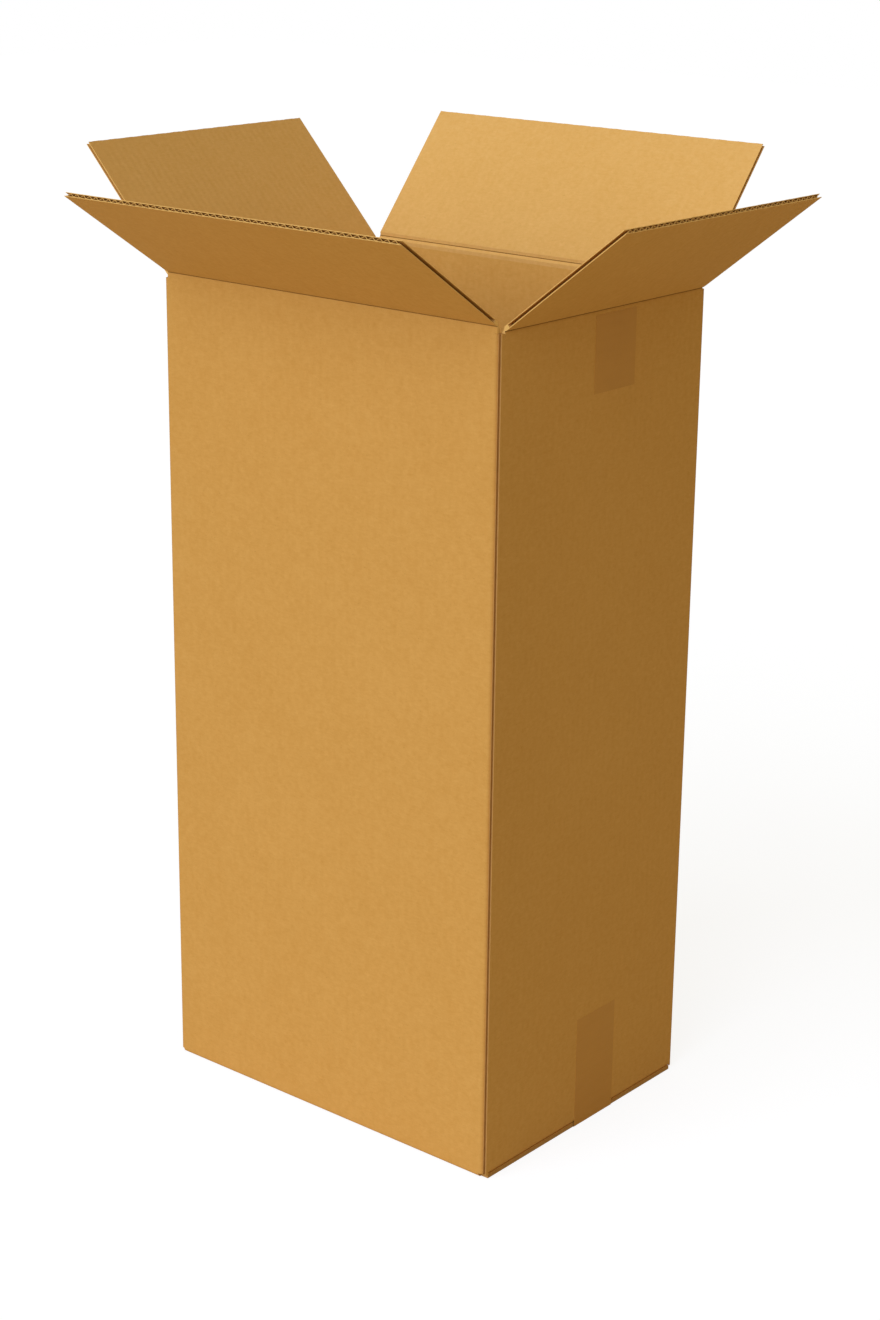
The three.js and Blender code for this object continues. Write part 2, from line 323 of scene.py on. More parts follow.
class Side(Enum):
    """A side of the box, with its own frame and its place on the blank."""

    FRONT = ("front", 0, True, 0.0, 56.5)
    RIGHT = ("right", 90, False, 0.35, 52.0)
    BACK = ("back", 180, True, 0.7, 39.5)
    LEFT = ("left", -90, False, -0.35, 43.5)

    def __init__(self, label: str, turn: int, outer: bool, blank: float, lean: float) -> None:
        """Names the parts of the member's value.

        Args:
            label: The side's name.
            turn: Its turn about +Z in degrees.
            outer: Whether its flaps are the outer ones.
            blank: Where its panel's middle lies on the blank.
            lean: How far its top flap leans out from upright, in degrees.
        """
        self.label = label
        self.turn = turn
        self.outer = outer
        self.blank = blank
        self.lean = lean

    def reach(self, plan: CartonPlan) -> float:
        """Distance from the middle of the box to this side's outside face."""
        return (plan.depth if self.outer else plan.length) / 2

    def span(self, plan: CartonPlan) -> Point:
        """The ends of the straight wall, in the wall's own frame.

        Args:
            plan: The carton's sizes.

        Returns:
            The lowest and the highest x between the folds.
        """
        half = (plan.length if self.outer else plan.depth) / 2
        end = plan.tab_face if self is Side.FRONT else half
        return -half + plan.fold, end - plan.fold

    def crease_height(self, plan: CartonPlan) -> float:
        """Height of the line on which the top flap turns."""
        return plan.height - plan.crease_in - (0.0 if self.outer else plan.stagger)

    def matrix(self, plan: CartonPlan) -> Matrix:
        """Turns the wall's frame, whose outside face is y = 0 with -Y outside, to this side."""
        turn = Matrix.Rotation(math.radians(self.turn), 4, "Z")
        return turn @ Matrix.Translation((0.0, -self.reach(plan), 0.0))


# Mesh helpers


def arc(centre: Point, radius: float, start: float, end: float, steps: int = 10) -> list[Point]:
    """Points along an arc.

    Args:
        centre: Its centre.
        radius: Its radius.
        start: First angle in degrees.
        end: Last angle in degrees.
        steps: How many chords.

    Returns:
        The points, both ends included.
    """
    points = []
    for k in range(steps + 1):
        angle = math.radians(start + (end - start) * k / steps)
        points.append((centre[0] + radius * math.cos(angle), centre[1] + radius * math.sin(angle)))
    return points


@dataclass
class Outline:
    """A closed section drawn point by point; each edge carries its face of the board."""

    points: list[Point] = field(default_factory=list)
    faces: list[Face] = field(default_factory=list)

    def run(self, points: Sequence[Point], face: Face) -> "Outline":
        """Adds points; the edges that leave them belong to the face.

        Args:
            points: The points, in order.
            face: The face of the board from each of them to the next.

        Returns:
            The outline itself.
        """
        self.points.extend(points)
        self.faces.extend([face] * len(points))
        return self

    def ordered(self) -> tuple[list[Point], list[Face]]:
        """Orders the section.

        Returns:
            The points anticlockwise, and the face of each edge.
        """
        count = len(self.points)
        pairs = zip(self.points, self.points[1:] + self.points[:1])
        area = sum(a[0] * b[1] - b[0] * a[1] for a, b in pairs)
        if area > 0:
            return self.points, self.faces
        return self.points[::-1], [self.faces[(count - 2 - i) % count] for i in range(count)]


@dataclass
class BoardMesh:
    """Gathers the closed pieces of one object, with their coordinates on the blank."""

    points: list[Vector] = field(default_factory=list)
    polygons: list[tuple[int, ...]] = field(default_factory=list)
    faces: list[int] = field(default_factory=list)
    coordinates: list[list[Point]] = field(default_factory=list)

    def prism(
        self,
        outline: Outline,
        levels: Sequence[float],
        place: Callable[[Point, float], Vector],
        unroll: Callable[[Point, Point, float], Point],
    ) -> None:
        """Adds a closed prism.

        Args:
            outline: Its section.
            levels: Where it has rings of points, in order.
            place: Gives the place of a point of the section at a level.
            unroll: Gives the coordinates on the blank, from the middle of an
                edge, one of its points and a level.
        """
        section, faces = outline.ordered()
        count = len(section)
        base = len(self.points)
        for level in levels:
            self.points.extend(place(point, level) for point in section)
        for k in range(len(levels) - 1):
            low = base + k * count
            for i in range(count):
                j = (i + 1) % count
                middle = ((section[i][0] + section[j][0]) / 2, (section[i][1] + section[j][1]) / 2)
                self.polygons.append((low + i, low + j, low + count + j, low + count + i))
                self.faces.append(faces[i])
                corners = ((i, k), (j, k), (j, k + 1), (i, k + 1))
                self.coordinates.append([unroll(middle, section[c], levels[n]) for c, n in corners])
        top = base + (len(levels) - 1) * count
        for ring, level in ((list(range(count))[::-1], levels[0]), (list(range(count)), levels[-1])):
            start = base if level == levels[0] else top
            self.polygons.append(tuple(start + i for i in ring))
            self.faces.append(Face.CUT)
            self.coordinates.append([unroll(section[i], section[i], level) for i in ring])

    def build(
        self,
        name: str,
        materials: Sequence[bpy.types.Material],
        sharp: float = 30.0,
    ) -> bpy.types.Object:
        """Makes the object.

        Args:
            name: Its name.
            materials: Its materials, in the order of Face.
            sharp: Degrees between faces past which an edge is sharp.

        Returns:
            The new object, at the origin.
        """
        mesh = bpy.data.meshes.new(name)
        mesh.from_pydata(self.points, [], self.polygons)
        layer = mesh.uv_layers.new(name="blank")
        for polygon, face, corners in zip(mesh.polygons, self.faces, self.coordinates):
            polygon.material_index = int(face)
            polygon.use_smooth = True
            for loop, corner in zip(polygon.loop_indices, corners):
                layer.data[loop].uv = corner
        mesh.set_sharp_from_angle(angle=math.radians(sharp))
        for material in materials:
            mesh.materials.append(material)
        return linked(name, mesh)


def linked(name: str, data: bpy.types.ID) -> bpy.types.Object:
    """Puts a mesh, a camera or a lamp in the scene as an object at the origin.

    Args:
        name: The object's name.
        data: Its mesh, camera or lamp.

    Returns:
        The object.
    """
    made = bpy.data.objects.new(name, data)
    bpy.context.scene.collection.objects.link(made)
    return made


# Finishes


def new_material(name: str) -> tuple[bpy.types.Material, Graph]:
    """Makes a material and the graph that fills it.

    Args:
        name: The material's name.

    Returns:
        The material and its emptied graph.
    """
    material = bpy.data.materials.new(name)
    material.use_nodes = True
    return material, Graph(material.node_tree)


@dataclass(frozen=True)
class KraftLiner:
    """Brown kraft liner: clouds, fibres and specks, with the flutes showing faintly through."""

    name: str
    colour: Colour
    deep: Colour
    pitch: float
    washboard: float = 0.00003
    tooth: float = 0.00003
    roughness: float = 0.7
    sheen: float = 0.12
    speck_share: float = 0.5
    speck_depth: float = 0.72

    def build(self) -> bpy.types.Material:
        """Makes the material.

        Returns:
            The material.
        """
        material, g = new_material(self.name)
        u, v, solid = g.on_board()
        clouds = g.noise(solid, 7.0, 2.0)
        blotches = g.noise(solid, 55.0, 3.0, 0.6)
        grain = g.noise(g.stretched(u, v, 160.0, 520.0), 1.0, 3.0, 0.6)
        fibres = g.noise(g.stretched(u, v, 700.0, 3200.0), 1.0, 2.0, 0.6)
        specks = g.noise(g.stretched(u, v, 420.0, 900.0), 1.0, 1.0, 0.4).step(0.70, 0.80)
        flutes = (u * (2 * math.pi / self.pitch)).cosine()
        patchy = g.noise(solid, 16.0, 1.0).step(0.3, 0.7)
        mottle = g.noise(solid, 190.0, 2.0, 0.6)

        shade = 0.5 + flutes * (0.01 + patchy * 0.015)
        for layer, share in ((clouds, 0.35), (blotches, 0.35), (mottle, 0.8), (grain, 0.8), (fibres, 0.8)):
            shade = shade + (layer - 0.5) * share
        tone = g.mixed(shade, self.deep, self.colour)
        dark = tuple(c * self.speck_depth for c in self.deep)
        tone = g.mixed(specks * self.speck_share, tone, dark)

        lift = flutes * self.washboard * (0.5 + patchy) + blotches * 0.0001
        lift = lift + (fibres + grain) * self.tooth
        g.surface(tone, self.roughness + (fibres - 0.5) * 0.2, self.sheen, lift, 0.8)
        return material


@dataclass(frozen=True)
class CutPaper:
    """Cut or torn paper: the pale, fuzzy edge of a liner or of the medium, and the dark painted shade along
    a crease.
    """

    name: str
    colour: Colour
    deep: Colour
    fuzz_height: float = 0.00012
    roughness: float = 0.9
    sheen: float = 0.05

    def build(self) -> bpy.types.Material:
        """Makes the material.

        Returns:
            The material.
        """
        material, g = new_material(self.name)
        solid = g.node("ShaderNodeTexCoord").outputs["Object"]
        fuzz = g.noise(solid, 2600.0, 2.0, 0.7)
        patches = g.noise(solid, 140.0, 2.0)
        shade = 0.5 + (fuzz - 0.5) * 0.9 + (patches - 0.5) * 0.6
        lift = fuzz * self.fuzz_height
        g.surface(g.mixed(shade, self.deep, self.colour), self.roughness, self.sheen, lift, 0.7)
        return material


@dataclass(frozen=True)
class TapeFilm:
    """Brown packing tape: a smooth film with faint ripples and small trapped bubbles."""

    name: str
    colour: Colour
    deep: Colour
    pitch: float
    roughness: float = 0.40
    sheen: float = 0.16

    def build(self) -> bpy.types.Material:
        """Makes the material.

        Returns:
            The material.
        """
        material, g = new_material(self.name)
        u, v, solid = g.on_board()
        ripples = g.noise(g.stretched(u, v, 30.0, 180.0), 1.0, 2.0)
        bubbles = g.noise(solid, 420.0, 1.0).step(0.66, 0.76)
        clouds = g.noise(solid, 28.0, 2.0)
        flutes = (u * (2 * math.pi / self.pitch)).cosine()
        shade = 0.5 + (clouds - 0.5) * 0.7 + (ripples - 0.5) * 0.4 + bubbles * 0.35
        lift = ripples * 0.00018 + bubbles * 0.00003 + flutes * 0.00002
        tone = g.mixed(shade, self.deep, self.colour)
        g.surface(tone, self.roughness + (clouds - 0.5) * 0.2, self.sheen, lift, 0.6)
        return material


@dataclass(frozen=True)
class StudioFloor:
    """White floor that fades into the background and keeps a soft shadow."""

    name: str = "studio_floor"
    glow: float = 0.85
    tone: tuple[Colour, Colour] = ((0.81, 0.715, 0.50), (0.83, 0.735, 0.52))
    seen_tone: Colour = (0.250, 0.266, 0.300)

    def build(self) -> bpy.types.Material:
        """Makes the material.

        Returns:
            The material.
        """
        material, g = new_material(self.name)
        solid = g.node("ShaderNodeTexCoord").outputs["Object"]
        cloud = g.noise(solid, 3.0, 1.0)
        tone = g.mixed(cloud, *self.tone)
        plain = g.node("ShaderNodeBsdfDiffuse", None, {"Color": tone})
        soft = g.node("ShaderNodeBsdfDiffuse", None, {"Color": (*self.seen_tone, 1.0)})
        white = (1.0, 1.0, 1.0, 1.0)
        glow = g.node("ShaderNodeEmission", None, {"Color": white, "Strength": self.glow})
        seen = g.node("ShaderNodeAddShader", None, {0: soft.outputs[0], 1: glow.outputs[0]})
        camera = g.node("ShaderNodeLightPath").outputs["Is Camera Ray"]
        both = g.node("ShaderNodeMixShader", None, {0: camera, 1: plain.outputs[0], 2: seen.outputs[0]})
        g.node("ShaderNodeOutputMaterial", None, {0: both.outputs[0]})
        return material


@dataclass
class Finishes:
    """The finishes of the box, made once."""

    board: BoardGrade
    outside: bpy.types.Material = field(init=False)
    # Paler than the outside liner: painted sheen of the bright sky on the flaps' insides
    inside: bpy.types.Material = field(init=False)
    lining: bpy.types.Material = field(init=False)
    cut: bpy.types.Material = field(init=False)
    raw: bpy.types.Material = field(init=False)
    # The dark painted shade of the crease's valley
    fold: bpy.types.Material = field(init=False)
    flute: bpy.types.Material = field(init=False)
    tape: bpy.types.Material = field(init=False)

    def __post_init__(self) -> None:
        """Builds every material from its paler and its deeper colour."""
        pitch = self.board.pitch
        outside = ((0.652, 0.352, 0.0945), (0.556, 0.276, 0.0585))
        # The flaps' inside liner is paler than the outside to paint the sky's sheen on it
        inside = ((0.810, 0.482, 0.160), (0.705, 0.385, 0.096))
        lining = ((0.775, 0.430, 0.114), (0.660, 0.334, 0.067))
        cut = ((0.86, 0.55, 0.19), (0.68, 0.39, 0.115))
        raw = ((0.56, 0.31, 0.10), (0.38, 0.19, 0.052))
        # Dark painted shade for the line along each crease
        fold = ((0.34, 0.170, 0.042), (0.23, 0.108, 0.025))
        flute = ((0.70, 0.41, 0.125), (0.50, 0.27, 0.072))
        tape = ((0.570, 0.280, 0.059), (0.496, 0.234, 0.044))
        self.outside = KraftLiner("kraft_outside", *outside, pitch).build()
        self.inside = KraftLiner("kraft_inside", *inside, pitch).build()
        self.lining = KraftLiner("kraft_lining", *lining, pitch).build()
        self.cut = CutPaper("cut_edge", *cut).build()
        self.raw = CutPaper("raw_edge", *raw).build()
        self.fold = CutPaper("crease_line", *fold).build()
        self.flute = CutPaper("flute_paper", *flute).build()
        self.tape = TapeFilm("brown_tape", *tape, pitch).build()

    @property
    def sheet(self) -> list[bpy.types.Material]:
        """The materials of a top flap's board, in the order of Face."""
        return [self.outside, self.inside, self.cut, self.fold]

    @property
    def walls(self) -> list[bpy.types.Material]:
        """The materials of the body's board, in the order of Face."""
        return [self.outside, self.lining, self.raw, self.fold]


# Wavy medium


class FlutedMedium:
    """The wavy paper between two liners, made by a Geometry Nodes tree."""

    SIZES = ("Length", "Reach", "Pitch", "Wave", "Thickness", "Start")
    STEPS_PER_FLUTE = 12
    TOUCHING = 1e-6

    def __init__(self, material: bpy.types.Material) -> None:
        """Builds the tree.

        Args:
            material: The medium's finish.
        """
        self.tree = bpy.data.node_groups.new("fluted_medium", "GeometryNodeTree")
        face = self.tree.interface
        face.new_socket("Geometry", in_out="INPUT", socket_type="NodeSocketGeometry")
        for name in self.SIZES:
            face.new_socket(name, in_out="INPUT", socket_type="NodeSocketFloat")
        face.new_socket("Geometry", in_out="OUTPUT", socket_type="NodeSocketGeometry")
        self._wire(Graph(self.tree), material)

    def _wire(self, g: Graph, material: bpy.types.Material) -> None:
        """Adds the tree's nodes.

        Args:
            g: The tree's graph.
            material: The medium's finish.
        """
        source = g.node("NodeGroupInput")
        size = {name: Value(g, source.outputs[name]) for name in self.SIZES}
        columns = (size["Length"] / size["Pitch"] * self.STEPS_PER_FLUTE).rounded_up() + 1.0
        grid = g.node(
            "GeometryNodeMeshGrid",
            None,
            {"Size X": size["Length"], "Size Y": size["Reach"], "Vertices X": columns, "Vertices Y": 2},
        )
        place = g.node("GeometryNodeInputPosition")
        x = Value(g, g.node("ShaderNodeSeparateXYZ", None, {0: place.outputs[0]}).outputs["X"])
        swing = ((x + size["Start"]) * (2 * math.pi) / size["Pitch"]).cosine() * size["Wave"]
        lift = g.node("ShaderNodeCombineXYZ", None, {"Z": swing - size["Thickness"] / 2.0})
        moved = {"Geometry": grid.outputs["Mesh"], "Offset": lift.outputs[0]}
        waved = g.node("GeometryNodeSetPosition", None, moved)
        under = g.node("GeometryNodeFlipFaces", None, {0: waved.outputs[0]})
        over = g.node(
            "GeometryNodeExtrudeMesh",
            {"mode": "FACES"},
            {"Mesh": waved.outputs[0], "Offset Scale": size["Thickness"], "Individual": False},
        )
        both = g.node("GeometryNodeJoinGeometry")
        g.tree.links.new(under.outputs[0], both.inputs[0])
        g.tree.links.new(over.outputs[0], both.inputs[0])
        joined = {"Geometry": both.outputs[0], "Distance": self.TOUCHING}
        closed = g.node("GeometryNodeMergeByDistance", None, joined)
        real = g.node("GeometryNodeRealizeInstances", None, {0: closed.outputs[0]})
        finished = {"Geometry": real.outputs[0], "Material": material}
        dressed = g.node("GeometryNodeSetMaterial", None, finished)
        g.node("NodeGroupOutput", None, {0: dressed.outputs[0]})

    def sheet(self, name: str, sizes: dict[str, float]) -> bpy.types.Object:
        """Makes one sheet of the medium as a plain mesh.

        Args:
            name: The object's name.
            sizes: A value for each of the tree's sizes.

        Returns:
            The sheet, flat in X and Y about the origin, its waves along Z.
        """
        carrier = linked(name + "_carrier", bpy.data.meshes.new(name + "_carrier"))
        modifier = carrier.modifiers.new("flutes", "NODES")
        modifier.node_group = self.tree
        for item in self.tree.interface.items_tree:
            if item.in_out == "INPUT" and item.name in sizes:
                modifier[item.identifier] = sizes[item.name]
        shown = carrier.evaluated_get(bpy.context.evaluated_depsgraph_get())
        mesh = bpy.data.meshes.new_from_object(shown)
        mesh.name = name
        bpy.data.objects.remove(carrier)
        return linked(name, mesh)


# The carton


@dataclass
class CartonShell:
    """The four walls, the glue tab and the folded bottom flaps."""

    plan: CartonPlan
    finishes: Finishes
    underside: float = 0.00025
    flap_edge: float = 0.0008
    post_rise: float = 0.0042
    tab_drop: float = 0.001
    # The open flute at the raw edge: how far in from the outside face, and how deep
    OPEN_FLUTE = ((0.0034, 0.0022), (0.0022, 0.0016), (0.0012, 0.0006), (0.0006, 0.0003))

    def build(self) -> bpy.types.Object:
        """Makes the shell.

        Returns:
            One object that stands for the carton's body.
        """
        plan = self.plan
        mesh = BoardMesh()
        low_panel = Side.RIGHT.crease_height(plan) - plan.crease_run
        high_panel = Side.FRONT.crease_height(plan) - plan.crease_run
        post_top = low_panel + self.post_rise
        self._upright(mesh, self._wrap(), (plan.shell_low, low_panel))
        for side in (Side.FRONT, Side.BACK):
            self._upright(mesh, self._panel(side), (low_panel, high_panel))
        for corner in self._corners():
            self._upright(mesh, corner, (low_panel, post_top))
            self._upright(mesh, corner, (plan.fold, plan.shell_low))
        self._tab(mesh)
        for side in Side:
            self._foot(mesh, side)
        return mesh.build("carton_shell", self.finishes.walls)

    def _upright(self, mesh: BoardMesh, outline: Outline, levels: Sequence[float]) -> None:
        """Adds a prism that stands on its plan.

        Args:
            mesh: Where it goes.
            outline: Its section seen from above.
            levels: Its heights.
        """
        mesh.prism(outline, levels, lambda p, z: Vector((p[0], p[1], z)), self._unroll_plan)

    def _unroll_plan(self, middle: Point, point: Point, height: float) -> Point:
        """Coordinates on the blank of a point seen from above.

        Args:
            middle: The middle of its edge, which tells the wall.
            point: The point.
            height: Its height.

        Returns:
            Its place round the blank and up it.
        """
        plan = self.plan
        x, y = middle
        gaps = {
            Side.FRONT: y + plan.depth / 2,
            Side.BACK: plan.depth / 2 - y,
            Side.RIGHT: plan.length / 2 - x,
            Side.LEFT: x + plan.length / 2,
        }
        side = min(gaps, key=lambda s: gaps[s])
        along = {
            Side.FRONT: point[0],
            Side.BACK: -point[0],
            Side.RIGHT: point[1],
            Side.LEFT: -point[1],
        }
        return side.blank + along[side], height

    def _raw_edge(self) -> list[Point]:
        """The right panel's cut edge at the glued corner, a flute open between its liners.

        Returns:
            Its points seen from above, from the inside face to the outside.
        """
        plan = self.plan
        y = plan.raw_edge_in - plan.depth / 2
        inside = plan.length / 2 - plan.board.thickness
        outside = plan.length / 2
        liner = plan.board.liner
        return [
            (inside, y),
            (inside + liner, y),
            *((outside - far, y + deep) for far, deep in self.OPEN_FLUTE),
            (outside - liner, y),
        ]

    def _wrap(self) -> Outline:
        """The walls seen from above, as one strip from the cut edge round to the tab's fold.

        Returns:
            The strip's section.
        """
        plan = self.plan
        x = plan.length / 2
        y = plan.depth / 2
        r = plan.fold
        t = plan.board.thickness
        face = plan.tab_face
        outline = Outline()
        outline.run(self._raw_edge(), Face.CUT)
        outline.run([(x, plan.raw_edge_in - y)], Face.OUTSIDE)
        outline.run(arc((x - r, y - r), r, 0, 90), Face.OUTSIDE)
        outline.run(arc((-x + r, y - r), r, 90, 180), Face.OUTSIDE)
        outline.run(arc((-x + r, -y + r), r, 180, 270), Face.OUTSIDE)
        outline.run(arc((face - r, -y + r), r, -90, 0)[:-1], Face.OUTSIDE)
        outline.run([(face, -y + r)], Face.CUT)
        outline.run([(face - t, -y + r)], Face.INSIDE)
        outline.run([(face - t, -y + t), (-x + t, -y + t), (-x + t, y - t), (x - t, y - t)], Face.INSIDE)
        return outline

    def _panel(self, side: Side) -> Outline:
        """One straight panel seen from above, in the box's frame.

        Args:
            side: The panel's side.

        Returns:
            The panel's section.
        """
        plan = self.plan
        start, end = side.span(plan)
        turned = side.matrix(plan)
        corners = [(start, 0.0), (end, 0.0), (end, plan.board.thickness), (start, plan.board.thickness)]
        placed = [turned @ Vector((x, y, 0.0)) for x, y in corners]
        outline = Outline()
        for point, face in zip(placed, (Face.OUTSIDE, Face.CUT, Face.INSIDE, Face.CUT)):
            outline.run([(point.x, point.y)], face)
        return outline

    def _corners(self) -> list[Outline]:
        """The folded corners and the end of the right panel, seen from above.

        Returns:
            A section for each.
        """
        plan = self.plan
        x = plan.length / 2
        y = plan.depth / 2
        r = plan.fold
        t = plan.board.thickness
        places = ((-x, -y, 0), (-x, y, -90), (x, y, 180), (plan.tab_face, -y, 90))
        outlines = []
        for corner_x, corner_y, turn in places:
            outline = Outline()
            turned = Matrix.Rotation(math.radians(turn), 4, "Z")
            spin = Matrix.Translation((corner_x, corner_y, 0.0)) @ turned
            for point in arc((r, r), r, 180, 270):
                placed = spin @ Vector((point[0], point[1], 0.0))
                outline.run([(placed.x, placed.y)], Face.OUTSIDE)
            outline.faces[-1] = Face.CUT
            for px, py, face in ((r, t, Face.INSIDE), (t, t, Face.INSIDE), (t, r, Face.CUT)):
                placed = spin @ Vector((px, py, 0.0))
                outline.run([(placed.x, placed.y)], face)
            outlines.append(outline)
        end = Outline()
        end.run(self._raw_edge(), Face.CUT)
        end.run([(x, plan.raw_edge_in - y)], Face.OUTSIDE)
        end.run([(x, plan.fold - y)], Face.CUT)
        end.run([(x - t, plan.fold - y)], Face.INSIDE)
        outlines.append(end)
        return outlines

    def _tab(self, mesh: BoardMesh) -> None:
        """Adds the glue tab behind the right panel.

        Args:
            mesh: Where it goes.
        """
        plan = self.plan
        near = plan.fold - plan.depth / 2
        far = near + plan.tab_width
        low = plan.shell_low
        high = Side.RIGHT.crease_height(plan) - plan.crease_run - self.tab_drop
        outline = Outline()
        outline.run([(near, low), (far, low + plan.tab_slope)], Face.CUT)
        outline.run([(far, high - plan.tab_slope), (near, high)], Face.CUT)
        levels = (plan.tab_face - plan.board.thickness, plan.tab_face)

        def place(point: Point, x: float) -> Vector:
            """Puts a point of the tab's flat side at an x."""
            return Vector((x, point[0], point[1]))

        def unroll(_middle: Point, point: Point, _x: float) -> Point:
            """The tab's flat side is its own pattern."""
            return Side.RIGHT.blank + point[0], point[1]

        mesh.prism(outline, levels, place, unroll)
        # The prism's two ends are the tab's flat sides
        mesh.faces[-2:] = (Face.INSIDE, Face.OUTSIDE)

    def _foot(self, mesh: BoardMesh, side: Side) -> None:
        """Adds a wall's bottom end, its fold and its bottom flap.

        An outer flap runs on to the ends of the box, under the corners' folds.

        Args:
            mesh: Where they go.
            side: The wall's side.
        """
        plan = self.plan
        fold = plan.fold
        t = plan.board.thickness
        bottom = self.underside if side.outer else plan.stagger
        reach = (plan.depth - plan.seam) / 2 + (0.0 if side.outer else plan.stagger)
        outline = Outline()
        outline.run([(0.0, plan.shell_low)], Face.OUTSIDE)
        outline.run(arc((fold, bottom + fold), fold, 180, 270), Face.OUTSIDE)
        outline.run([(reach, bottom)], Face.CUT)
        outline.run([(reach, bottom + t), (t, bottom + t), (t, plan.shell_low)], Face.INSIDE)
        outline.faces[-1] = Face.CUT
        turned = side.matrix(plan)

        def place(point: Point, x: float) -> Vector:
            """Puts a point of the wall's section at an x along the wall."""
            return turned @ Vector((x, point[0], point[1]))

        def unroll(_middle: Point, point: Point, x: float) -> Point:
            """Runs down the wall and on under the box."""
            return side.blank + x, point[1] - point[0]

        start, end = side.span(plan)
        mesh.prism(outline, (start, end), place, unroll)
        if not side.outer:
            return
        margin = Outline()
        margin.run([(fold, bottom)], Face.OUTSIDE)
        margin.run([(reach, bottom)], Face.CUT)
        margin.run([(reach, bottom + t)], Face.INSIDE)
        margin.run([(fold, bottom + t)], Face.CUT)
        edge = plan.length / 2 - self.flap_edge
        mesh.prism(margin, (-edge, start), place, unroll)
        mesh.prism(margin, (end, edge), place, unroll)


# The top flaps


@dataclass
class TopFlap:
    """One top flap: its two liners, the medium between them and its crease."""

    side: Side
    plan: CartonPlan
    finishes: Finishes
    medium: FlutedMedium
    groove: float = 0.0024
    groove_floor: float = 0.0015
    # How far on each side of the crease the outside face carries the dark painted crease shade; the inside
    # face half as far
    line: float = 0.0006
    look_in: float = 0.0022
    edge_inset: float = 0.0002
    bend: float = 0.0016
    ring_step: float = 0.003
    strip_rings: int = 40
    # The dent in the outside face at the crease: two bells, each a depth and a width
    DENTS = ((0.00034, 0.0009), (0.00012, 0.0028))
    # The waves in a cut edge, each a height, a rate and a share of the liner's seed
    WOBBLES = ((0.00012, 310.0, 1.0), (0.00008, 905.0, 2.1))
    SEEDS = (0.7, 3.9)
    # Where the strip has points, on each side of the crease
    MARKS = (0.0042, 0.003, 0.0024, 0.002, 0.0016, 0.0012, 0.0009, 0.0006, 0.0003)

    @property
    def length(self) -> float:
        """From the crease to the free edge.

        Returns:
            The length in metres.
        """
        plan = self.plan
        outer = plan.depth / 2 - plan.crease_in - plan.seam / 2
        return outer if self.side.outer else outer + plan.stagger

    @property
    def ends(self) -> Point:
        """The flap's two side edges.

        Returns:
            Their x along the wall; the front flap's near one reaches the raw edge.
        """
        start, end = self.side.span(self.plan)
        past = self.plan.fold if self.side is Side.FRONT else 0.0
        return start + self.plan.side_gap, end + past - self.plan.side_gap

    def hinge(self) -> Matrix:
        """Turns the crease's frame to its place: x along it, y in, z up.

        Returns:
            The matrix.
        """
        plan = self.plan
        height = self.side.crease_height(plan)
        return self.side.matrix(plan) @ Matrix.Translation((0.0, plan.crease_in, height))

    def leaning(self) -> Matrix:
        """Turns the upright flap's frame to the flap as it stands open."""
        return self.hinge() @ Matrix.Rotation(math.radians(self.side.lean), 4, "X")

    def build(self) -> list[bpy.types.Object]:
        """Makes the flap's pieces.

        Returns:
            The liners, the medium and the crease.
        """
        return [self._liners(), self._medium(), self._crease()]

    def _unroll(self, _middle: Point, point: Point, x: float) -> Point:
        """Coordinates on the blank: along the crease and on up the flap."""
        return self.side.blank + x, self.plan.height + point[1]

    def _wobble(self, x: float, seed: float) -> float:
        """How far a cut edge strays, in metres."""
        return sum(far * math.sin(x * rate + share * seed) for far, rate, share in self.WOBBLES)

    def _liners(self) -> bpy.types.Object:
        """Makes the outside and the inside liner as one object.

        Returns:
            The liners.
        """
        plan = self.plan
        start, end = self.ends
        board = plan.board
        back = -plan.crease_in
        steps = int((end - start) / self.ring_step)
        levels = [start + (end - start) * k / steps for k in range(steps + 1)]
        leaning = self.leaning()
        mesh = BoardMesh()
        for low, seed in zip((back, back + board.thickness - board.liner), self.SEEDS):
            high = low + board.liner
            outline = Outline()
            outline.run([(low, self.length)], Face.OUTSIDE)
            outline.run([(low, plan.crease_run)], Face.CUT)
            outline.run([(high, plan.crease_run)], Face.INSIDE)
            outline.run([(high, self.length)], Face.CUT)

            def place(point: Point, x: float, seed: float = seed) -> Vector:
                """Puts a point of the liner's section at an x along the crease."""
                free = point[1] > plan.crease_run
                return leaning @ Vector((x, point[0], point[1] + (self._wobble(x, seed) if free else 0.0)))

            mesh.prism(outline, levels, place, self._unroll)
        return mesh.build(f"{self.side.label}_flap_liners", self.finishes.sheet)

    def _medium(self) -> bpy.types.Object:
        """Makes the wavy medium between the liners.

        Returns:
            The medium.
        """
        plan = self.plan
        start, end = self.ends
        board = plan.board
        sizes = {
            "Length": end - start - 2 * self.look_in,
            "Reach": self.length - plan.crease_run - self.edge_inset,
            "Pitch": board.pitch,
            "Wave": board.wave,
            "Thickness": board.medium,
            "Start": self.side.blank + (start + end) / 2,
        }
        sheet = self.medium.sheet(f"{self.side.label}_flap_flutes", sizes)
        middle = board.thickness / 2 - plan.crease_in
        centre = Vector(((start + end) / 2, middle, plan.crease_run + sizes["Reach"] / 2))
        stand = Matrix.Rotation(math.radians(90), 4, "X")
        sheet.data.transform(self.leaning() @ Matrix.Translation(centre) @ stand)
        return sheet

    def _depths(self, s: float) -> Point:
        """The two faces of the crushed board.

        Args:
            s: How far past the crease.

        Returns:
            The depths of the outside and of the inside face.
        """
        plan = self.plan
        full = plan.board.thickness - plan.crease_in
        share = min(abs(s) / self.groove, 1.0)
        smooth = share * share * (3 - 2 * share)
        dent = sum(deep * math.exp(-((s / wide) ** 2)) for deep, wide in self.DENTS)
        return -plan.crease_in + dent, self.groove_floor + (full - self.groove_floor) * smooth

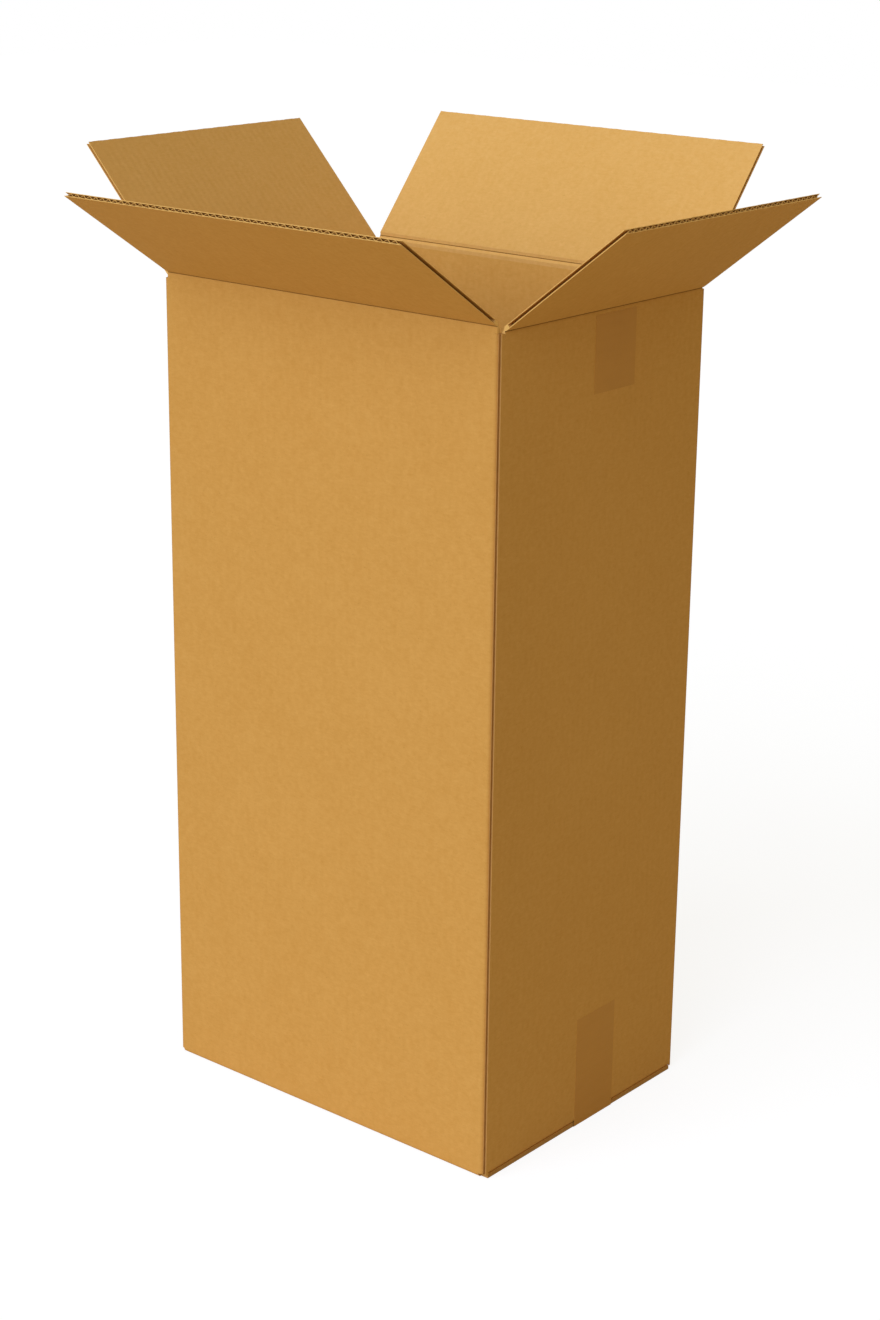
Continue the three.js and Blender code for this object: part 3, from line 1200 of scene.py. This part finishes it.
    def _crease(self) -> bpy.types.Object:
        """Makes the crushed strip that joins the wall and the flap.

        Returns:
            The strip, blended between the two.
        """
        plan = self.plan
        start, end = self.ends
        bend = self.bend
        lean = math.radians(self.side.lean)
        marks = (plan.crease_run, *self.MARKS)
        places = [-m for m in marks] + [0.0] + list(marks[::-1])

        def bent(depth: float, s: float) -> Point:
            """A point of the section with its share of the lean.

            Args:
                depth: How far in from the pivot.
                s: How far past the crease.

            Returns:
                Its place in the crease's frame, as (y, z).
            """
            share = min(max((s + bend) / (2 * bend), 0.0), 1.0)
            turn = lean * share * share * (3 - 2 * share)
            y = depth * math.cos(turn) - s * math.sin(turn)
            return y, depth * math.sin(turn) + s * math.cos(turn)

        outline = Outline()
        faces = ((0, Face.OUTSIDE, places, self.line), (1, Face.INSIDE, places[::-1], self.line / 2))
        for index, face, order, half in faces:
            # Faces next to the crease take the dark painted crease shade
            for s, ahead in zip(order, order[1:] + order[-1:]):
                in_crease_shade = abs(s + ahead) < 2 * half
                outline.run([bent(self._depths(s)[index], s)], Face.FOLD if in_crease_shade else face)
            outline.faces[-1] = Face.CUT
        hinge = self.hinge()
        mesh = BoardMesh()
        steps = self.strip_rings
        levels = [start + (end - start) * k / steps for k in range(steps + 1)]
        mesh.prism(outline, levels, lambda p, x: hinge @ Vector((x, p[0], p[1])), self._unroll)
        strip = mesh.build(f"{self.side.label}_crease_strip", self.finishes.sheet, 60.0)
        low = hinge @ Vector((0.0, 0.0, -bend))
        high = hinge @ Vector((0.0, -bend * math.sin(lean), bend * math.cos(lean)))
        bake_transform(strip, "carton", f"{self.side.label}_flap", tuple(low), tuple(high))
        return strip


# Tape


@dataclass
class PackingTape:
    """The strip over the bottom seam and the two tails left of the top strip."""

    plan: CartonPlan
    finishes: Finishes
    width: float = 0.06
    film: float = 0.0002
    bottom_tail: float = 0.114
    bottom_offset: float = 0.016
    top_tail: float = 0.07
    top_drop: float = 0.004
    top_offset: float = 0.012
    tooth: float = 0.0015
    bite: float = 0.00045
    bend: float = 0.0008

    def _levels(self, offset: float) -> list[float]:
        """Rings across the tape, two for each tooth of its cut ends."""
        count = int(self.width / self.tooth)
        return [offset - self.width / 2 + self.width * k / count for k in range(count + 1)]

    def _tooth(self, y: float, offset: float) -> float:
        """How far the serrated end reaches in, at a place across the tape."""
        index = round((y - offset + self.width / 2) / self.tooth)
        return self.bite if index % 2 else 0.0

    def bottom(self) -> bpy.types.Object:
        """Makes the strip under the box and up both end panels.

        Returns:
            The strip.
        """
        plan = self.plan
        out = plan.length / 2 + self.film
        bend = self.bend + self.film
        turn = out - bend
        top = self.bottom_tail
        outline = Outline()
        outline.run([(-turn, 0.0), (turn, 0.0)], Face.OUTSIDE)
        outline.run(arc((turn, bend), bend, -90, 0)[1:], Face.OUTSIDE)
        outline.run([(out, top), (out - self.film, top)], Face.OUTSIDE)
        outline.run(arc((turn, bend), bend - self.film, 0, -90), Face.OUTSIDE)
        outline.run(arc((-turn, bend), bend - self.film, -90, -180), Face.OUTSIDE)
        outline.run([(-out + self.film, top), (-out, top)], Face.OUTSIDE)
        outline.run(arc((-turn, bend), bend, 180, 270)[:-1], Face.OUTSIDE)
        return self._strip("bottom_tape_film", outline, self.bottom_offset, top)

    def tail(self, side: Side) -> bpy.types.Object:
        """Makes the tail on one end panel.

        Args:
            side: The end panel's side.

        Returns:
            The tail.
        """
        plan = self.plan
        way = 1.0 if side is Side.RIGHT else -1.0
        face = way * plan.length / 2
        out = face + way * self.film
        top = Side.RIGHT.crease_height(plan) - self.top_drop
        low = top - self.top_tail
        outline = Outline()
        outline.run([(face, low), (out, low), (out, top), (face, top)], Face.OUTSIDE)
        return self._strip(f"top_tape_{side.label}_film", outline, self.top_offset, low)

    def _strip(self, name: str, outline: Outline, offset: float, cut: float) -> bpy.types.Object:
        """Makes a band of tape.

        Args:
            name: The object's name.
            outline: Its section, as (x, height).
            offset: The middle of its width, along Y.
            cut: Height of its serrated ends.

        Returns:
            The band.
        """
        inward = -1.0 if cut < self.plan.height / 2 else 1.0

        def place(point: Point, y: float) -> Vector:
            """Puts a point of the section at a place across the tape.

            Args:
                point: The point, as (x, height).
                y: The place across.

            Returns:
                Its place, bitten in at a serrated end.
            """
            x, z = point
            bite = self._tooth(y, offset) * inward if z == cut else 0.0
            return Vector((x, y, z + bite))

        def unroll(_middle: Point, point: Point, y: float) -> Point:
            """Keeps the flutes of the end panels under the film."""
            return Side.RIGHT.blank + y, point[1] - abs(point[0])

        mesh = BoardMesh()
        mesh.prism(outline, self._levels(offset)[::-1], place, unroll)
        return mesh.build(name, [self.finishes.tape] * len(Face))


# Studio


@dataclass
class Studio:
    """Camera, lamp, world and floor."""

    eye: tuple[float, float, float] = (1.5029, -1.7931, 1.1986)
    yaw: float = 39.722
    pitch: float = 18.23
    roll: float = 0.69
    lens: float = 69.55
    key_towards: tuple[float, float, float] = (0.0, -0.883, 0.469)
    key_strength: float = 2.56
    key_angle: float = 60.0
    key_colour: Colour = (0.76, 0.845, 1.0)
    fill_colour: Colour = (1.0, 0.84, 0.51)
    fill_strength: float = 0.36
    floor_half: float = 9.0

    def build(self, floor: StudioFloor) -> None:
        """Sets up everything that isn't the box.

        Args:
            floor: The floor's finish.
        """
        self._camera()
        self._lamp()
        self._world()
        self._floor(floor)
        bpy.context.scene.view_settings.view_transform = "Standard"

    def _camera(self) -> None:
        """Puts the camera where the photograph was taken from."""
        yaw = math.radians(self.yaw)
        pitch = math.radians(self.pitch)
        roll = math.radians(self.roll)
        level = math.cos(pitch)
        ahead = Vector((-math.sin(yaw) * level, math.cos(yaw) * level, -math.sin(pitch)))
        right = Vector((math.cos(yaw), math.sin(yaw), 0.0))
        up = right.cross(ahead)
        turned = right * math.cos(roll) + up * math.sin(roll)
        above = turned.cross(ahead)
        data = bpy.data.cameras.new("camera")
        data.lens = self.lens
        data.sensor_width = 36.0
        data.clip_end = 60.0
        camera = linked("camera", data)
        axes = Matrix((turned, above, -ahead)).transposed().to_4x4()
        camera.matrix_world = Matrix.Translation(self.eye) @ axes
        bpy.context.scene.camera = camera

    def _lamp(self) -> None:
        """Adds the key lamp in front of the box."""
        data = bpy.data.lights.new("key_lamp", "SUN")
        data.energy = self.key_strength
        data.angle = math.radians(self.key_angle)
        data.color = self.key_colour
        lamp = linked("key_lamp", data)
        turn = Vector(self.key_towards).to_track_quat("Z", "Y")
        lamp.matrix_world = turn.to_matrix().to_4x4()

    def _world(self) -> None:
        """Lights the box evenly, and is white to the camera."""
        world = bpy.data.worlds.new("studio")
        world.use_nodes = True
        bpy.context.scene.world = world
        g = Graph(world.node_tree)
        warm = {"Color": (*self.fill_colour, 1.0), "Strength": self.fill_strength}
        plain = {"Color": (1.0, 1.0, 1.0, 1.0), "Strength": 1.0}
        fill = g.node("ShaderNodeBackground", None, warm)
        white = g.node("ShaderNodeBackground", None, plain)
        camera = g.node("ShaderNodeLightPath").outputs["Is Camera Ray"]
        both = g.node("ShaderNodeMixShader", None, {0: camera, 1: fill.outputs[0], 2: white.outputs[0]})
        g.node("ShaderNodeOutputWorld", None, {0: both.outputs[0]})

    def _floor(self, finish: StudioFloor) -> None:
        """Lays the floor under the box.

        Args:
            finish: The floor's finish.
        """
        half = self.floor_half
        mesh = bpy.data.meshes.new("floor")
        corners = [(-half, -half, 0.0), (half, -half, 0.0), (half, half, 0.0), (-half, half, 0.0)]
        mesh.from_pydata(corners, [], [(0, 1, 2, 3)])
        mesh.materials.append(finish.build())
        linked("floor", mesh)


def ride(piece: bpy.types.Object, body: str) -> None:
    """Makes a piece move with a body.

    Args:
        piece: The piece.
        body: The body that carries it.
    """
    if "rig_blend" not in piece:
        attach(piece, body)
    log.info("%s: %d faces, with %s", piece.name, len(piece.data.polygons), body)


def main() -> None:
    """Builds the box and its studio."""
    logging.basicConfig(level=logging.INFO, format="%(name)s: %(message)s")
    plan = CartonPlan()
    finishes = Finishes(plan.board)
    Studio().build(StudioFloor())

    shell = CartonShell(plan, finishes).build()
    ride(shell, "carton")
    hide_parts("carton_body")

    medium = FlutedMedium(finishes.flute)
    for side in Side:
        body = f"{side.label}_flap"
        pieces = TopFlap(side, plan, finishes, medium).build()
        for piece in pieces:
            ride(piece, body)
        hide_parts(body)

    tape = PackingTape(plan, finishes)
    strips = {"bottom_tape": tape.bottom()}
    for side in (Side.RIGHT, Side.LEFT):
        strips[f"top_tape_{side.label}"] = tape.tail(side)
    for node, strip in strips.items():
        ride(strip, "carton")
        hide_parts(node)


if __name__ == "__main__":
    main()
